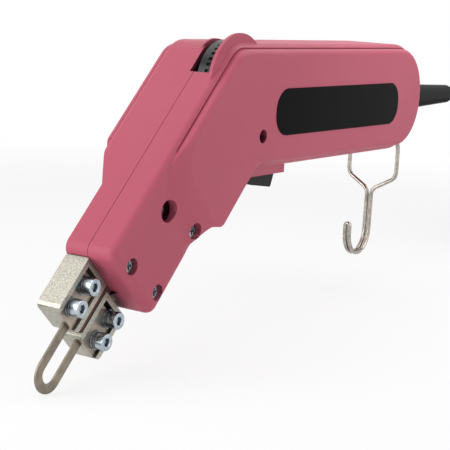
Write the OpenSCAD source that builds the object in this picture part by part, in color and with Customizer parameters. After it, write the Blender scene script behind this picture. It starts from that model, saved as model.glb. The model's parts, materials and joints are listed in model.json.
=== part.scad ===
// Hand-held electric hot knife: a pistol-shaped two-part housing, a low-voltage
// transformer in the handle, and a U-shaped hot blade clamped in two nickel blocks.
// +X runs along the handle to the cord, +Y to the right of the tool, +Z up.
// The origin is the middle of the grip. Millimetres throughout.

/* [Handle] */
// Height of the handle
handle_h = 54; // [50:1:60]
// Grip centre to the rear end of the housing
handle_rear = 94; // [90:1:104]
// Grip centre to the corner where the top meets the sloping front
front_reach = 88; // [84:1:94]
// Width across both side pads
body_w = 41; // [40:0.5:46]
// Width of the band between the two pads
core_w = 34; // [33:0.5:36]
// How far the parting seam lies to the left of the middle
seam_off = 4; // [3:0.5:5]
// Wall thickness of the housing
wall = 2.5; // [2:0.1:3]
// Set-back of the pads from the outline of the band
pad_inset = 2.2; // [1.5:0.1:3]
// Edge radius of the band
core_edge_r = 3.5; // [2.5:0.1:3.8]
// Edge radius of the pads
pad_edge_r = 2.5; // [1.5:0.1:2.8]

/* [Nose] */
// Slope of the nose below the handle axis, degrees
nose_angle = 45; // [42:1:48]
// Length of the sloping front
nose_len = 112; // [108:1:120]
// Depth of the nose, front to rear
nose_h = 40.5; // [39:0.5:44]
// Right side face of the nose, from the middle
nose_right = 6.5; // [6:0.5:8]
// Depth of the shoulder, front to rear
shoulder_h = 49.5; // [47:0.5:53]

/* [Blade and blocks] */
// Length of a block outside the housing
block_len = 24; // [22:0.5:28]
// Thickness of a block
block_t = 10.2; // [9:0.2:10.6]
// Thickness of the insulating strip between the blocks
strip_t = 1.8; // [1.4:0.1:2]
// Width of the blade strip as a share of a block's width
blade_share = 0.2353; // [0.18:0.005:0.25]
// Thickness of the blade strip
blade_t = 0.9; // [0.7:0.05:1.2]
// Length of the blade beyond the blocks
blade_reach = 26; // [20:1:32]
// Shank diameter of the clamp screws as a share of a block's width
clamp_share = 0.2353; // [0.18:0.005:0.25]

/* [Controls] */
// Radius of the thumbwheel
wheel_r = 17.8; // [17:0.1:18.2]
// Width of the thumbwheel
wheel_w = 7.3; // [6:0.1:7.5]
// Number of grip notches in the thumbwheel's rim
wheel_notches = 40; // [24:1:48]
// Width of the trigger
trigger_w = 20; // [16:0.5:21]
// Press of the trigger, degrees
trigger_press = 6; // [4:0.5:6]

/* [Hook] */
// Diameter of the hook's wire
hook_d = 2.2; // [1.6:0.1:2.4]
// Distance between the hook's legs, middle to middle
hook_span = 28; // [26:0.5:29]
// Drop of the shank's lower end below the hook's pivot
hook_drop = 54; // [48:1:60]
// Radius of the hook's bend
hook_bend_r = 11.3; // [9:0.1:12]

/* [Cord] */
// Diameter of the cord
cord_d = 7.5; // [6:0.1:8]
// Length of the tapered strain relief
relief_len = 60; // [50:1:64]

/* [Hidden] */

$fn = 64;
// Overrun of every cut
cut = 1;
// Usual gap between pieces that only sit beside each other
gap = 0.3;
// Radial gap of a running fit
run_gap = 0.05;
// Steps of a quarter round
round_steps = 5;
// Steps of an outline's corner
corner_steps = 10;

half_h = handle_h / 2;
half_w = body_w / 2;
half_core = core_w / 2;
cav_y = half_core - wall;
cav_z = half_h - wall;
top_corner_r = 14;
rear_r = half_h - 1;
nose_corner_r = 4.5;
throat_r = 6;
shoulder_r = 4;
// Where the shoulder and the ramps to the nose begin and end along the slope
shoulder_s = 60;
neck_s = 76;
left_foot_s = 78;
left_top_s = 64;
left_ramp_r = 18;
right_foot_s = 80;
right_top_s = 60;
right_ramp_r = 6;
// The pads' rear line stays this much inside the band's
pad_shy = 0.2;

// A point of the nose: s down the slope from the top corner, t behind the front face
function nose(s, t) = [
  -front_reach - s * cos(nose_angle) + t * sin(nose_angle),
  half_h - s * sin(nose_angle) - t * cos(nose_angle)
];

// Outlines with round corners, listed clockwise with the front at the left
function unit(v) = v / norm(v);
function outward(a, b) = let (e = unit(b - a)) [-e.y, e.x];
function turn(a, b) = atan2(cross(a, b), a * b);
// Round corner at v between a and b: centre, signed radius, first angle, sweep
function corner(a, v, b, r) = let (
  n1 = outward(a, v),
  n2 = outward(v, b),
  sweep = turn(n1, n2),
  signed = sweep < 0 ? r : -r
) [v - signed * (n1 + n2) / (1 + n1 * n2), signed, atan2(n1.y, n1.x), sweep];
function corners(list) = let (n = len(list)) [
  for (i = [0 : n - 1])
    corner(list[(i + n - 1) % n][0], list[i][0], list[(i + 1) % n][0], list[i][1])
];
// Points of an outline drawn in by d
function outline(list, d) = [
  for (c = corners(list), k = [0 : corner_steps])
    let (a = c[2] + c[3] * k / corner_steps)
      c[0] + (c[1] - d) * [cos(a), sin(a)]
];

// Whole side outline of the housing, handle and nose
function front_x(base) = -front_reach
  + base * (sin(nose_angle) - (1 - cos(nose_angle)) / tan(nose_angle));
function throat_x(base) = nose((handle_h - base - shoulder_h * cos(nose_angle)) / sin(nose_angle), shoulder_h).x;
function full_outline() = [
  [nose(nose_len, 0), nose_corner_r],
  [[-front_reach, half_h], top_corner_r],
  [[handle_rear, half_h], rear_r],
  [[handle_rear, -half_h], rear_r],
  [[throat_x(0), -half_h], throat_r],
  [nose(shoulder_s, shoulder_h), shoulder_r],
  [nose(neck_s, nose_h), throat_r],
  [nose(nose_len, nose_h), nose_corner_r]
];
// Handle and shoulder only, drawn in by base, ending on the slope at s and t
function body_outline(base, s, t, ramp_r) = [
  [nose(s, base), ramp_r],
  [[front_x(base), half_h - base], top_corner_r - base],
  [[handle_rear - base, half_h - base], rear_r - base],
  [[handle_rear - base, base - half_h], rear_r - base],
  [[throat_x(base), base - half_h], throat_r],
  [nose(s, t), shoulder_r]
];

// Solid between rings of points, from the lowest y to the highest
module loft(rings) {
  n = len(rings[0]);
  m = len(rings);
  polyhedron(
    points = [for (r = rings) each r],
    faces = concat(
      [[for (j = [0 : n - 1]) j]],
      [for (i = [0 : m - 2], j = [0 : n - 1], h = [0, 1])
        let (k = (j + 1) % n)
          h == 0 ? [i * n + j, (i + 1) * n + j, (i + 1) * n + k]
                 : [i * n + j, (i + 1) * n + k, i * n + k]],
      [[for (j = [n - 1 : -1 : 0]) (m - 1) * n + j]]
    )
  );
}
function at_y(points, y) = [for (p = points) [p.x, y, p.y]];
// Outline in the XZ plane made thick from y0 to y1
module slab(y0, y1) {
  translate([0, y1, 0]) rotate([90, 0, 0]) linear_extrude(y1 - y0) children();
}
module nose_slab(s0, s1, t0, t1, y0, y1) {
  slab(y0, y1) polygon([nose(s0, t0), nose(s1, t0), nose(s1, t1), nose(s0, t1)]);
}
// Cylinder along Y at a point of the XZ plane
module y_rod(p, r, y0, y1) {
  translate([p.x, y1, p.y]) rotate([90, 0, 0]) cylinder(r = r, h = y1 - y0);
}
module x_rod(p, r, x0, x1) {
  translate([x0, p.x, p.y]) rotate([0, 90, 0]) cylinder(r = r, h = x1 - x0);
}
module span_box(a, b) {
  translate(a) cube(b - a);
}

// Outer skins are joined as one mesh before anything exact is cut from them
module one_mesh() {
  minkowski() {
    union() children();
  }
}

// Housing
seam_y = -seam_off;
function round_d(r, k) = r * (1 - cos(90 * k / round_steps));

module left_core() {
  o = full_outline();
  loft(concat(
    [for (k = [round_steps : -1 : 0])
      at_y(outline(o, round_d(core_edge_r, k)), -half_core + core_edge_r - core_edge_r * sin(90 * k / round_steps))],
    [at_y(outline(o, 0), seam_y)]
  ));
}
function left_pad_ring(w, d, y) = at_y(outline(body_outline(
  pad_inset,
  left_foot_s + (left_top_s - left_foot_s) * w,
  nose_h - pad_shy + (shoulder_h - nose_h) * w,
  left_ramp_r), d), y);
module left_pad() {
  rise = half_w - half_core;
  loft(concat(
    [for (k = [round_steps : -1 : 0])
      let (up = rise - pad_edge_r + pad_edge_r * sin(90 * k / round_steps))
        left_pad_ring(max(up, 0) / rise, round_d(pad_edge_r, k), -half_core - up)],
    [left_pad_ring(0, 0, -half_core), left_pad_ring(0, 0, -half_core + core_edge_r)]
  ));
}
// Fine lines: the gap along the seam, and the groove at the foot of each pad
seam_w = 0.25;
seam_deep = 0.5;
groove_w = 0.5;
groove_in = 0.1;
groove_up = 0.6;
groove_deep = 1.1;
groove_end_s = 58;
module seam_line() {
  slab(seam_y - seam_w, seam_y + cut) difference() {
    polygon(outline(full_outline(), -wall));
    polygon(outline(full_outline(), seam_deep));
  }
}
module pad_groove(y0, y1, foot_s, ramp_r) {
  foot = body_outline(pad_inset, foot_s, nose_h - pad_shy, ramp_r);
  out = half_h + wall;
  slab(y0, y1) intersection() {
    difference() {
      polygon(outline(foot, -groove_w));
      polygon(outline(foot, groove_in));
    }
    polygon([
      nose(groove_end_s, -wall), [-front_reach, out + wall], [handle_rear + wall, out],
      [handle_rear + wall, -out], [throat_x(0) + throat_r, -out], nose(groove_end_s, wall)
    ]);
  }
}
// The right shell is lofted whole, then cut back beside the nose
module right_core() {
  o = full_outline();
  loft(concat(
    [at_y(outline(o, 0), seam_y)],
    [for (k = [0 : round_steps])
      at_y(outline(o, round_d(core_edge_r, k)), half_core - core_edge_r + core_edge_r * sin(90 * k / round_steps))]
  ));
}
// Prism across the nose, drawn in the plane of the slope: points are s and y
module across_nose(points) {
  reach = 2 * shoulder_h;
  translate([-front_reach, 0, half_h]) rotate([0, -nose_angle, 0]) rotate([0, 0, 90])
    translate([0, 0, -reach]) linear_extrude(2 * reach) polygon([for (p = points) [p.y, p.x]]);
}
module nose_side_cut() {
  far_s = 2 * nose_len;
  slope = (right_top_s - right_foot_s) / (half_core - nose_right);
  top_y = half_w + cut;
  across_nose([
    [right_foot_s, nose_right], [far_s, nose_right], [far_s, top_y],
    [right_foot_s + slope * (top_y - nose_right), top_y]
  ]);
}
module right_pad() {
  rise = half_w - half_core;
  function ring(d, y) = at_y(outline(body_outline(pad_inset, right_foot_s, nose_h - pad_shy, right_ramp_r), d), y);
  loft(concat(
    [ring(0, half_core - core_edge_r), ring(0, half_core)],
    [for (k = [0 : round_steps])
      ring(round_d(pad_edge_r, k), half_core + rise - pad_edge_r + pad_edge_r * sin(90 * k / round_steps))]
  ));
}

// Housing screws: where they stand, and their seats on the left shell
screw_d = 3;
screw_head_d = 5.8;
screw_head_h = 2;
screw_len = 14;
shallow_y = -13.2;
deep_y = -11;
screw_end_y = deep_y + screw_len;
boss_r = 4;
recess_r = 3.4;
mid_recess_r = 4.6;
mid_boss_r = 5.6;
handle_recess_r = 3;
nose_boss_end = nose_right - wall;
low_screw_up = 5.6;
low_screw_t = 13.4;
rear_screw_up = 8.9;
rear_screw_in = 5.4;
neck_screw_up = 5.7;
neck_screw_in = 2.7;
mid_screw_up = 0.7;
mid_screw_t = 15.4;
handle_screw_back = 3.5;
handle_screw_up = 14.8;
low_screw = nose(nose_len - low_screw_up, low_screw_t);
rear_screw = nose(nose_len - rear_screw_up, nose_h - rear_screw_in);
neck_screw = nose(neck_s - neck_screw_up, nose_h - neck_screw_in);
mid_screw = nose(left_foot_s - mid_screw_up, mid_screw_t);
handle_screw = [throat_x(0) + handle_screw_back, -half_h + handle_screw_up];
shallow_screws = [low_screw, rear_screw, neck_screw];
deep_screws = [mid_screw, handle_screw];
nose_screws = concat(shallow_screws, [mid_screw]);
all_screws = concat(shallow_screws, deep_screws);

// Thumbwheel: axis, slot and guard
wheel_back = 6.5;
wheel_down = 17;
wheel_in = 1.1;
slot_clear = 1.5;
slot_side = 0.6;
slot_past = 1.9;
fin_rise = 3.5;
tab_rise = 0.5;
wheel_axis = [-front_reach + wheel_back, half_h - wheel_down];
wheel_y1 = seam_y - wheel_in;
wheel_y0 = wheel_y1 - wheel_w;
slot_r = wheel_r + slot_clear;
slot_y0 = wheel_y0 - slot_side;
slot_y1 = seam_y + slot_past;
fin_r = wheel_r + fin_rise;
fin_w = 1.5;
skin_share = 0.6;
tab_r = wheel_r + tab_rise;
tab_w = 1.5;

// Trigger and its collar
pivot_back = 6;
pivot_up = 5;
trigger_pivot = [throat_x(0) + pivot_back, -half_h + pivot_up];
pin_r = 1.5;
pin_len = 27;
pin_boss_r = 3.5;
collar_h = 4;
collar_len = 29.5;
collar_side = 3.5;
collar_wall = 1.7;
slot_lead = 4.5;
collar_rear = trigger_pivot.x + collar_len;
collar_w = trigger_w + 2 * collar_side;
slot_front = trigger_pivot.x - slot_lead;
slot_rear = collar_rear - collar_wall;
slot_half = trigger_w / 2 + gap;

// Micro switch on two posts of the right shell
switch_size = [27.8, 10.3, 15.9];
switch_y0 = 1;
switch_up = 8;
switch_back = 18;
switch_low = -half_h + switch_up;
switch_mid = trigger_pivot.x + switch_back;
post_r = 4;
switch_pin_r = 1.45;
switch_pin_pitch = 22.2;
switch_pin_up = 3;

// Control board on two posts of the right shell
board_y0 = 5.7;
board_t = 1.6;
board_back = 4;
board_x0 = -front_reach + board_back;
board_len = 38;
board_top = cav_z - gap;
board_low = -2.5;
board_post_r = 2.5;
board_post_in = 4.5;
board_posts = [
  [board_x0 + board_post_in, board_low + board_post_in],
  [board_x0 + board_len - board_post_in, board_top - board_post_in]
];

// Cord entry, clamp and hook pivot
entry = [seam_y, -2];
relief_neck_r = 7.2;
relief_fit = 0.2;
relief_collar_r = 8.5;
relief_collar_len = 8;
relief_flange_r = 9.5;
relief_flange_t = 3;
relief_root_r = 6.9;
relief_tip_r = 5.1;
flange_back = 2.5;
relief_gap = 0.4;
relief_edge = 0.6;
flange_x1 = handle_rear - wall - flange_back;
relief_x0 = handle_rear + relief_gap;
relief_x1 = relief_x0 + relief_collar_len;
relief_end = relief_x1 + relief_len;
cord_r = cord_d / 2;
clamp_back = 21;
clamp_x = handle_rear - clamp_back;
clamp_half = 9;
clamp_bar_t = 3;
clamp_touch = 0.1;
clamp_post_end = entry.x - cord_r - clamp_touch;
hook_back = 18.2;
hook_up = 8;
hook_clear = 0.5;
hook_pivot = [handle_rear - hook_back, -half_h + hook_up];
hook_y = hook_span / 2;
hook_r = hook_d / 2;
hook_pin_y = 17.8;
hook_boss_r = 3.2;
hook_slot_half = hook_r + hook_clear;
hook_slot_r = 15;
hook_slot_from = -14;
hook_slot_to = 58;

// Plate on the handle
plate_x = 2.5;
plate_z = -2.4;
plate_len = 122;
plate_h = 20.6;
plate_r = 9.5;
plate_t = 0.8;
plate_sink = 0.5;
plate_gap = 0.1;

module round_plate(len, h, r) {
  square([len - 2 * r, h], center = true);
  square([len, h - 2 * r], center = true);
  for (i = [-1, 1], j = [-1, 1])
    translate([i * (len / 2 - r), j * (h / 2 - r)]) circle(r);
}

module hook_slots(side) {
  a = hook_slot_from;
  b = hook_slot_to;
  steps = 6;
  slab(side * hook_y - hook_slot_half, side * hook_y + hook_slot_half)
    polygon(concat([hook_pivot + hook_slot_half * [-1, 1], hook_pivot - hook_slot_half * [1, 0]],
      [for (k = [0 : steps]) let (c = a + (b - a) * k / steps)
        hook_pivot + hook_slot_r * [sin(c), -cos(c)]],
      [hook_pivot + hook_slot_half * [1, 0.5], hook_pivot + hook_slot_half * [1, 1]]));
}
module collar_block(y0, y1) {
  x0 = throat_x(0) - collar_h;
  slab(y0, y1) polygon([
    [x0, -half_h - collar_h], [x0, -half_h + wall / 2],
    [collar_rear, -half_h + wall / 2], [collar_rear, -half_h - collar_h]
  ]);
}
module trigger_slot(y0, y1) {
  span_box([slot_front, y0, -half_h - collar_h - cut], [slot_rear, y1, -cav_z + cut]);
}
// The blocks' tails leave the nose through its end wall
tail_share = 0.306;
tail_clear = 0.6;
tail_thick = 7.5;
tail_y1 = seam_y + tail_thick;
block_front_t = 3.2;
block_rear_gap = 1.3;
strip_gap = 0.1;
// Two blocks and the strip between them fill the depth of the nose
block_w = (nose_h - block_front_t - block_rear_gap - strip_t - 2 * strip_gap) / 2;
blade_w = block_w * blade_share;
clamp_d = block_w * clamp_share;
tail_w = block_w * tail_share;
block_rear_t = block_front_t + block_w + strip_t + 2 * strip_gap;
strip_mid_t = block_front_t + block_w + strip_gap + strip_t / 2;
upper_tail_t = low_screw_t - boss_r - tail_clear - tail_w / 2;
lower_tail_t = nose_h - rear_screw_in - boss_r - tail_clear - tail_w / 2;
bar_gap = 0.1;
bar_y0 = -cav_y + bar_gap;
bar_t = 1.7;
bar_y1 = bar_y0 + bar_t;
module tail_opening(t) {
  nose_slab(nose_len - wall - cut, nose_len + cut, t - tail_w / 2 - gap, t + tail_w / 2 + gap,
    seam_y - gap, tail_y1 + gap);
}

module left_housing() {
  color("#b96276") {
    difference() {
      union() {
        difference() {
          one_mesh() {
            left_core();
            left_pad();
          }
          seam_line();
          pad_groove(-half_core - groove_up, -half_core + groove_deep, left_foot_s, left_ramp_r);
          slab(-cav_y, seam_y + cut) polygon(outline(full_outline(), wall));
          slab(-half_w + wall, -cav_y + cut)
            polygon(outline(body_outline(pad_inset, left_top_s, shoulder_h, left_ramp_r), wall));
        }
        collar_block(-collar_w / 2, seam_y);
        difference() {
          y_rod(wheel_axis, fin_r, slot_y0 - fin_w, slot_y0);
          slab(-half_core, seam_y) polygon(outline(full_outline(), wall * skin_share));
        }
        intersection() {
          for (p = shallow_screws) y_rod(p, boss_r, -half_core + wall / 2, seam_y);
          y_rod(mid_screw, mid_boss_r, -half_core + wall / 2, seam_y);
          slab(-half_core, seam_y) polygon(outline(full_outline(), wall / 2));
        }
        y_rod(handle_screw, boss_r, -half_w + wall / 2, seam_y);
        y_rod(trigger_pivot, pin_boss_r, -half_w + wall / 2, -trigger_w / 2 - gap);
        y_rod(hook_pivot, hook_boss_r, -half_w + wall / 2, -hook_y - hook_slot_half);
      }
      y_rod(wheel_axis, slot_r, slot_y0, seam_y + cut);
      for (p = all_screws) y_rod(p, screw_d / 2 + run_gap, shallow_y - cut, seam_y + cut);
      for (p = shallow_screws) y_rod(p, recess_r, -half_w - cut, shallow_y);
      y_rod(mid_screw, mid_recess_r, -half_w - cut, deep_y);
      y_rod(handle_screw, handle_recess_r, -half_w - cut, deep_y);
      y_rod(trigger_pivot, pin_r + run_gap / 2, -pin_len / 2 - run_gap, 0);
      y_rod(hook_pivot, hook_r + run_gap, -hook_pin_y - run_gap, 0);
      hook_slots(-1);
      trigger_slot(-slot_half, seam_y + cut);
      x_rod(entry, relief_neck_r + relief_fit, clamp_x + boss_r, handle_rear + cut);
      tail_opening(upper_tail_t);
      tail_opening(lower_tail_t);
      translate([plate_x, -half_w + plate_sink, plate_z]) rotate([90, 0, 0])
        linear_extrude(plate_sink + cut)
          round_plate(plate_len + 2 * plate_gap, plate_h + 2 * plate_gap, plate_r + plate_gap);
    }
  }
}

module right_housing() {
  color("#b96276") {
    difference() {
      union() {
        difference() {
          one_mesh() {
            difference() {
              union() {
                right_core();
                right_pad();
              }
              nose_side_cut();
            }
          }
          pad_groove(half_core - groove_deep, half_core + groove_up, right_foot_s, right_ramp_r);
          slab(seam_y - cut, nose_right - wall) polygon(outline(full_outline(), wall));
          slab(nose_right - wall - cut, cav_y)
            polygon(outline(body_outline(0, right_top_s, shoulder_h, right_ramp_r), wall));
          slab(cav_y - cut, half_w - wall)
            polygon(outline(body_outline(pad_inset, right_top_s, shoulder_h, right_ramp_r), wall));
        }
        collar_block(seam_y, collar_w / 2);
        intersection() {
          y_rod(wheel_axis, tab_r, slot_y1, slot_y1 + tab_w);
          span_box([wheel_axis.x - tab_r, slot_y1 - cut, half_h - wall * skin_share],
            [wheel_axis.x + tab_r, slot_y1 + tab_w + cut, half_h + wall]);
        }
        intersection() {
          for (p = nose_screws) y_rod(p, boss_r, seam_y, nose_boss_end + wall / 2);
          slab(seam_y, nose_right) polygon(outline(full_outline(), wall / 2));
        }
        y_rod(handle_screw, boss_r, seam_y, half_w - wall / 2);
        y_rod(trigger_pivot, pin_boss_r, trigger_w / 2 + gap, half_w - wall / 2);
        y_rod(hook_pivot, hook_boss_r, hook_y + hook_slot_half, half_w - wall / 2);
        for (i = [-1, 1]) {
          y_rod([switch_mid + i * switch_pin_pitch / 2, switch_low + switch_pin_up], post_r,
            switch_y0 + switch_size.y, half_w - wall / 2);
          y_rod([switch_mid + i * switch_pin_pitch / 2, switch_low + switch_pin_up], switch_pin_r,
            switch_y0, half_w - wall / 2);
          y_rod([clamp_x, entry.y + i * clamp_half], post_r - run_gap, clamp_post_end, half_w - wall / 2);
        }
        for (p = board_posts) y_rod(p, board_post_r, board_y0 + board_t, half_w - wall / 2);
        span_box([clamp_x - post_r / 2, entry.x + cord_r + clamp_touch, entry.y - clamp_half],
          [clamp_x + post_r / 2, half_w - wall / 2, entry.y + clamp_half]);
      }
      y_rod(wheel_axis, slot_r, seam_y - cut, slot_y1);
      for (p = all_screws) y_rod(p, screw_d / 2 + run_gap, seam_y - cut, screw_end_y + gap);
      y_rod(trigger_pivot, pin_r + run_gap / 2, 0, pin_len / 2 + run_gap);
      y_rod(hook_pivot, hook_r + run_gap, 0, hook_pin_y + run_gap);
      hook_slots(1);
      trigger_slot(seam_y - cut, slot_half);
      x_rod(entry, relief_neck_r + relief_fit, clamp_x + 2 * post_r, handle_rear + cut);
      for (i = [-1, 1])
        y_rod([clamp_x, entry.y + i * clamp_half], clamp_screw_d / 2 + run_gap,
          clamp_post_end - cut, clamp_post_end + clamp_screw_len);
      tail_opening(upper_tail_t);
      tail_opening(lower_tail_t);
    }
  }
}

module cross_screw(d, head_d, head_h, len) {
  cross_w = 1.1;
  cross_len_share = 0.62;
  cross_deep_share = 0.6;
  deep = head_h * cross_deep_share;
  difference() {
    union() {
      rotate([90, 0, 0]) cylinder(d = head_d, h = head_h);
      rotate([-90, 0, 0]) cylinder(d = d, h = len);
    }
    for (a = [0, 90])
      rotate([0, a, 0]) translate([0, -head_h, 0])
        cube([head_d * cross_len_share, 2 * deep, cross_w], center = true);
  }
}
module housing_screws() {
  color("#b9bec4") {
    for (p = shallow_screws) translate([p.x, shallow_y, p.y])
      cross_screw(screw_d, screw_head_d, screw_head_h, screw_len);
    for (p = deep_screws) translate([p.x, deep_y, p.y])
      cross_screw(screw_d, screw_head_d, screw_head_h, screw_len);
  }
}
module name_plate() {
  color("#141416") translate([plate_x, -half_w + plate_sink, plate_z]) rotate([90, 0, 0])
    linear_extrude(plate_t) round_plate(plate_len, plate_h, plate_r);
}

// Trigger
trigger_clear = 1.4;
trigger_drop = 10.7;
plunger_off = 2;
trigger_rear = slot_rear - trigger_clear;
trigger_top = -cav_z + gap;
trigger_low = -half_h - trigger_drop;
lip_t = 1.4;
lip_reach = 2.6;
rib_w = 3;
rib_len = 6;
plunger_x = switch_mid + plunger_off;
plunger_r = 1.5;
plunger_out = (plunger_x - trigger_pivot.x) * sin(trigger_press) + gap;
plunger_len = 7.4;
plunger_y = switch_y0 + switch_size.y / 2;
rib_top = switch_low - plunger_out - gap;
spring_gap_half = 3.6;
module trigger() {
  half = trigger_w / 2;
  px = trigger_pivot.x;
  pz = trigger_pivot.y;
  toe = 1.9;
  heel = 1.2;
  belly = 2.2;
  chin = 4.2;
  side_gap = 0.1;
  belly_share = 0.72;
  color("#2e2f2f") difference() {
    union() {
      slab(-half + side_gap, half - side_gap) polygon([
        [px - pin_boss_r, trigger_low + chin], [px - pin_boss_r, pz], [px + pin_boss_r, pz],
        [px + pin_boss_r + heel, trigger_top], [trigger_rear, trigger_top],
        [trigger_rear, -half_h - collar_h - heel], [trigger_rear - toe, trigger_low + heel / 2],
        [trigger_rear - toe - heel / 2, trigger_low + run_gap], [trigger_rear - toe - heel, trigger_low],
        [trigger_rear - (trigger_rear - px) * belly_share, trigger_low + belly]
      ]);
      y_rod(trigger_pivot, pin_boss_r, -half + side_gap, half - side_gap);
      span_box([trigger_rear - lip_reach, -half + side_gap, trigger_top - cut],
        [slot_rear + lip_reach, half - side_gap, trigger_top + lip_t]);
      span_box([plunger_x - rib_len / 2, plunger_y - rib_w / 2, trigger_top - cut],
        [plunger_x + rib_len / 2, plunger_y + rib_w / 2, rib_top]);
    }
    span_box([slot_rear - run_gap - heel, -half - cut, trigger_top - 2 * cut],
      [slot_rear + lip_reach + cut, half + cut, trigger_top]);
    y_rod(trigger_pivot, pin_r + run_gap, -half - cut, half + cut);
    y_rod(trigger_pivot, pin_boss_r + gap, -spring_gap_half, spring_gap_half);
  }
}
module trigger_pin() {
  color("#9a9ea3") y_rod(trigger_pivot, pin_r, -pin_len / 2, pin_len / 2);
}
function unit_cross(a, b) = unit(cross(a, b));
// Tube along points; ref is a direction the path never runs along
function tube_ring(p, t, r, sides, ref) = let (a = unit_cross(ref, t), b = cross(t, a))
  [for (k = [0 : sides - 1]) let (c = 360 * k / sides) p + r * (cos(c) * a + sin(c) * b)];
function tangent(p, i) = let (n = len(p))
  unit(p[min(i + 1, n - 1)] - p[max(i - 1, 0)]);
module tube(p, r, sides, ref) {
  loft([for (i = [0 : len(p) - 1]) tube_ring(p[i], tangent(p, i), r, sides, ref)]);
}
module trigger_spring() {
  wire_r = 0.4;
  turns = 5;
  steps = 10;
  sides = 6;
  mid_r = pin_r + gap + wire_r;
  rise = 2 * (spring_gap_half - wire_r - gap);
  color("#8f9398") tube([for (k = [0 : turns * steps]) let (a = 360 * k / steps)
    [trigger_pivot.x + mid_r * cos(a), -rise / 2 + rise * k / (turns * steps), trigger_pivot.y + mid_r * sin(a)]],
    wire_r, sides, [0, 1, 0]);
}
module micro_switch() {
  bore_gap = 0.1;
  color("#1f2021") difference() {
    translate([switch_mid - switch_size.x / 2, switch_y0, switch_low]) cube(switch_size);
    for (i = [-1, 1])
      y_rod([switch_mid + i * switch_pin_pitch / 2, switch_low + switch_pin_up], switch_pin_r + bore_gap,
        switch_y0 - cut, switch_y0 + switch_size.y + cut);
    translate([plunger_x, plunger_y, switch_low - cut]) cylinder(r = plunger_r + run_gap, h = plunger_len + cut);
  }
}
module switch_plunger() {
  color("#c4352c") translate([plunger_x, plunger_y, switch_low - plunger_out]) cylinder(r = plunger_r, h = plunger_len);
}

// Heat control
shaft_r = 3;
pot_r = 8.5;
pot_y0 = -1.8;
bush_r = 4;
bush_len = 3.2;
shaft_in = 4.6;
module thumbwheel() {
  notch_w = 1.3;
  notch_deep = 1;
  smooth_share = 0.45;
  dish_r = 12;
  hub_r = 5.5;
  dish_deep = 1.4;
  color("#2f3335") difference() {
    y_rod(wheel_axis, wheel_r, wheel_y0, wheel_y1);
    y_rod(wheel_axis, shaft_r + run_gap, wheel_y0 - cut, wheel_y1 + cut);
    for (k = [0 : wheel_notches - 1])
      translate([wheel_axis.x, wheel_y0 - cut, wheel_axis.y]) rotate([0, 360 * k / wheel_notches, 0])
        translate([wheel_r - notch_deep, 0, -notch_w / 2])
          cube([2 * notch_deep, wheel_w * (1 - smooth_share) + cut, notch_w]);
    difference() {
      y_rod(wheel_axis, dish_r, wheel_y1 - dish_deep, wheel_y1 + cut);
      y_rod(wheel_axis, hub_r, wheel_y1 - 2 * dish_deep, wheel_y1 + 2 * cut);
    }
  }
}
module control_shaft() {
  color("#a8abae") y_rod(wheel_axis, shaft_r, wheel_y0, pot_y0 + shaft_in);
}
module potentiometer() {
  color("#7d8388") difference() {
    union() {
      y_rod(wheel_axis, pot_r, pot_y0, board_y0);
      y_rod(wheel_axis, bush_r, pot_y0 - bush_len, board_y0 - cut);
    }
    y_rod(wheel_axis, shaft_r + run_gap, pot_y0 - bush_len - cut, pot_y0 + shaft_in + gap);
  }
}
module control_board() {
  color("#2f6b3c") span_box([board_x0, board_y0, board_low], [board_x0 + board_len, board_y0 + board_t, board_top]);
}
module triac() {
  size = [10, 4.5, 15];
  from_left = 8;
  up = 4.5;
  color("#242424") translate([board_x0 + from_left, board_y0 + board_t, board_low + up]) cube(size);
}
module capacitor() {
  size = [13, 7.5, 14];
  from_left = 20;
  up = 2;
  color("#c9a23a") translate([board_x0 + from_left, board_y0 + board_t, board_low + up]) cube(size);
}

// Transformer
core_clear = 12.1;
core_x0 = switch_mid + switch_size.x / 2 + core_clear;
core_len = 56;
core_half_y = -bar_y1 - gap;
core_half_z = cav_z - gap;
leg_half = 8;
yoke = 10;
bob_x0 = core_x0 + yoke + gap;
bob_x1 = core_x0 + core_len - yoke - gap;
window_z = core_half_z - leg_half;
bob_z = window_z - gap;
bob_clear = 0.5;
bob_y = half_w - wall - bob_clear;
flange_t = 1.4;
tube_t = 1.2;
split_share = 0.353;
coil_split = bob_x0 + (bob_x1 - bob_x0) * split_share;
module ring_box(x0, x1, y, z, iy, iz) {
  difference() {
    span_box([x0, -y, -z], [x1, y, z]);
    span_box([x0 - cut, -iy, -iz], [x1 + cut, iy, iz]);
  }
}
module transformer_core() {
  color("#6d6f72") difference() {
    span_box([core_x0, -core_half_y, -core_half_z], [core_x0 + core_len, core_half_y, core_half_z]);
    for (i = [-1, 1])
      translate([core_x0 + yoke, -core_half_y - cut, i > 0 ? leg_half : -window_z])
        cube([core_len - 2 * yoke, 2 * core_half_y + 2 * cut, window_z - leg_half]);
  }
}
leg_gap = 0.2;
tube_y = core_half_y + leg_gap + tube_t;
tube_z = leg_half + leg_gap + tube_t;
module coil_bobbin() {
  color("#d9d3c0") difference() {
    union() {
      span_box([bob_x0, -tube_y, -tube_z], [bob_x1, tube_y, tube_z]);
      span_box([bob_x0, -bob_y, -bob_z], [bob_x0 + flange_t, bob_y, bob_z]);
      span_box([bob_x1 - flange_t, -bob_y, -bob_z], [bob_x1, bob_y, bob_z]);
    }
    span_box([bob_x0 - cut, -core_half_y - leg_gap, -leg_half - leg_gap],
      [bob_x1 + cut, core_half_y + leg_gap, leg_half + leg_gap]);
  }
}
coil_gap = 0.1;
coil_in = 0.3;
module primary_coil() {
  color("#a8622f") ring_box(coil_split + coil_gap, bob_x1 - flange_t - coil_gap,
    bob_y - coil_in, bob_z - coil_in, tube_y + coil_gap, tube_z + coil_gap);
}
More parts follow.
